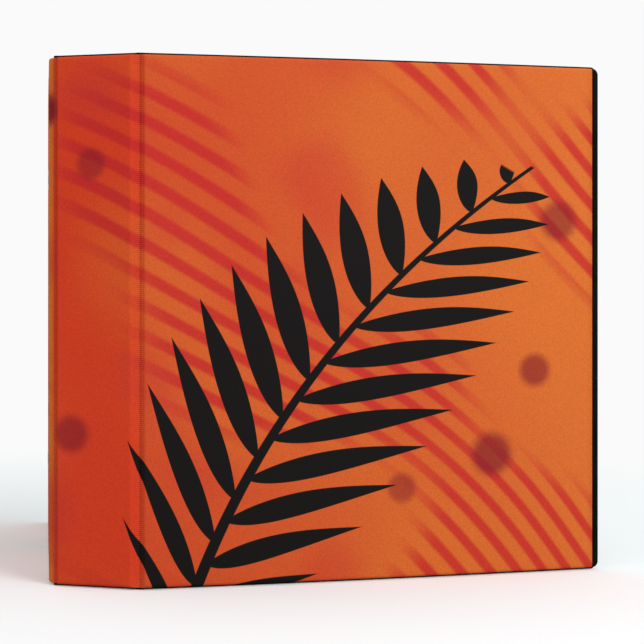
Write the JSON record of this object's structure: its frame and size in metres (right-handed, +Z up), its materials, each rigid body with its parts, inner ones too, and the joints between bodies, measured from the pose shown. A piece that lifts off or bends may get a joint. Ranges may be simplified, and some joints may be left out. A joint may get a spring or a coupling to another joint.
{
  "type": "three-ring binder",
  "caption": "Padded vinyl ring binder with a D-ring mechanism on its back cover, two levers and inside pockets, standing ajar.",
  "frame": {"origin": "foot of the spine, midway between the two hinge lines, on the floor", "axes": "+Z up along the spine; +Y along the back cover, from its hinge line to its fore edge; +X away from the back cover's inner face, towards the front cover"},
  "size_m": [0.3221, 0.2991, 0.296],
  "materials": {
    "printed_vinyl": "fine canvas grain, satin, orange-red print",
    "black_vinyl": "fine grain, satin",
    "grey_board": "plain pressed board",
    "nickel_steel": "bright nickel plate"
  },
  "bodies": {
    "spine": {"spine_board": "grey_board", "spine_skin": "printed_vinyl", "spine_liner": "black_vinyl", "front_hinge": "printed_vinyl", "back_hinge": "printed_vinyl"},
    "front_cover": {"front_board": "grey_board", "front_skin": "printed_vinyl", "front_liner": "black_vinyl", "front_pocket": "black_vinyl"},
    "back_cover": {"back_board": "grey_board", "back_skin": "printed_vinyl", "back_liner": "black_vinyl", "back_pocket": "black_vinyl", "ring_casing": "nickel_steel", "rivet_bottom": "nickel_steel", "rivet_top": "nickel_steel", "lever_pin_bottom": "nickel_steel", "lever_pin_top": "nickel_steel"},
    "curved_rings": {"blade_spine_side": "nickel_steel", "curved_ring_bottom": "nickel_steel", "curved_ring_middle": "nickel_steel", "curved_ring_top": "nickel_steel"},
    "straight_rings": {"blade_page_side": "nickel_steel", "straight_ring_bottom": "nickel_steel", "straight_ring_middle": "nickel_steel", "straight_ring_top": "nickel_steel"},
    "top_lever": {"lever_top": "nickel_steel"},
    "bottom_lever": {"lever_bottom": "nickel_steel"}
  },
  "joints": [
    {"name": "front_cover_hinge", "type": "hinge", "parent": "spine", "child": "front_cover", "pos_m": [0.02314, -0.01129, 0], "axis": [0, 0, 1], "range_deg": [-34, 56]},
    {"name": "back_cover_hinge", "type": "hinge", "parent": "spine", "child": "back_cover", "pos_m": [-0.02314, 0.01129, 0], "axis": [0, 0, 1], "range_deg": [-26, 64]},
    {"name": "curved_rings_open", "type": "hinge", "parent": "back_cover", "child": "curved_rings", "pos_m": [-0.02009, 0.03129, 0.148], "axis": [0, 0, -1], "range_deg": [0, 12]},
    {"name": "straight_rings_open", "type": "hinge", "parent": "back_cover", "child": "straight_rings", "pos_m": [-0.02009, 0.05529, 0.148], "axis": [0, 0, 1], "range_deg": [0, 12]},
    {"name": "top_lever_press", "type": "hinge", "parent": "back_cover", "child": "top_lever", "pos_m": [-0.01749, 0.04329, 0.268], "axis": [0, -1, 0], "range_deg": [0, 35]},
    {"name": "bottom_lever_press", "type": "hinge", "parent": "back_cover", "child": "bottom_lever", "pos_m": [-0.01749, 0.04329, 0.028], "axis": [0, 1, 0], "range_deg": [0, 35]}
  ],
  "couplings": [
    {"joint": "straight_rings_open", "follows": "curved_rings_open", "ratio": 1},
    {"joint": "top_lever_press", "follows": "curved_rings_open", "ratio": 2.9},
    {"joint": "bottom_lever_press", "follows": "curved_rings_open", "ratio": 2.9}
  ]
}
